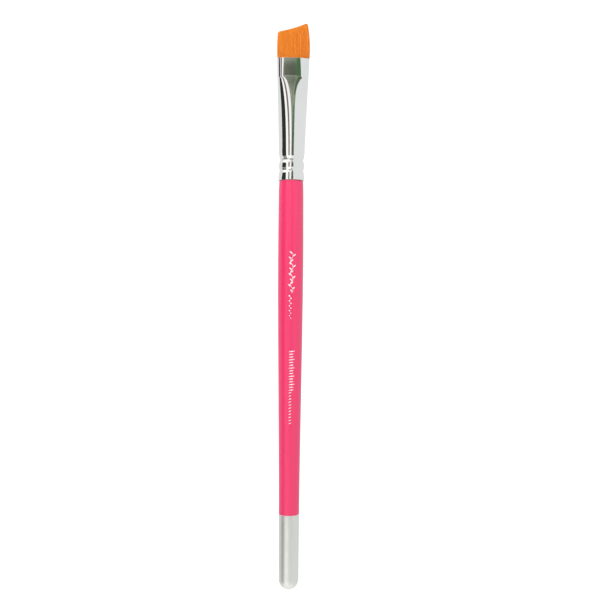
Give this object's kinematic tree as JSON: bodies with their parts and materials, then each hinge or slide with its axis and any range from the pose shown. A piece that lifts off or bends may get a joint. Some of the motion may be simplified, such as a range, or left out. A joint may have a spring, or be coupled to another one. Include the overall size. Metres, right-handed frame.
{
  "type": "angled flat brush",
  "caption": "Slim round lacquered handle with a dipped tail, a crimped ferrule pressed flat at its mouth, and a flat tuft of synthetic filaments cut on a slant.",
  "frame": {"origin": "middle of the handle's rounded tail end, on the handle's axis", "axes": "+Z along the brush from tail to tuft, +X along the width of the tuft towards the long side of its cut, +Y through its thickness towards the back"},
  "size_m": [0.0106, 0.0084, 0.1866],
  "materials": {
    "birch": "bare turned birch",
    "pink_lacquer": "satin lacquer",
    "silver_pearl": "satin silver pearl lacquer",
    "glue": "set adhesive",
    "ferrule_plating": "bright nickel plating",
    "resin": "set epoxy",
    "bound_filament": "synthetic filament bound with resin",
    "filament": "satin synthetic filament"
  },
  "bodies": {
    "handle": {"handle_core": "birch", "pink_lacquer": "pink_lacquer", "silver_dip": "silver_pearl", "tenon_glue": "glue", "ferrule": "ferrule_plating", "epoxy_plug": "resin", "filament_roots": "bound_filament"},
    "tuft": {"filament_lock_front_1": "filament", "filament_lock_front_2": "filament", "filament_lock_front_3": "filament", "filament_lock_front_4": "filament", "filament_lock_front_5": "filament", "filament_lock_front_6": "filament", "filament_lock_front_7": "filament", "filament_lock_back_1": "filament", "filament_lock_back_2": "filament", "filament_lock_back_3": "filament", "filament_lock_back_4": "filament", "filament_lock_back_5": "filament", "filament_lock_back_6": "filament", "filament_lock_back_7": "filament"}
  },
  "joints": [
    {"name": "tuft_flex", "type": "hinge", "parent": "handle", "child": "tuft", "pos_m": [0, 0, 0.1748], "axis": [1, 0, 0], "range_deg": [-35, 35], "stiffness_Nm_per_rad": 0.005}
  ]
}
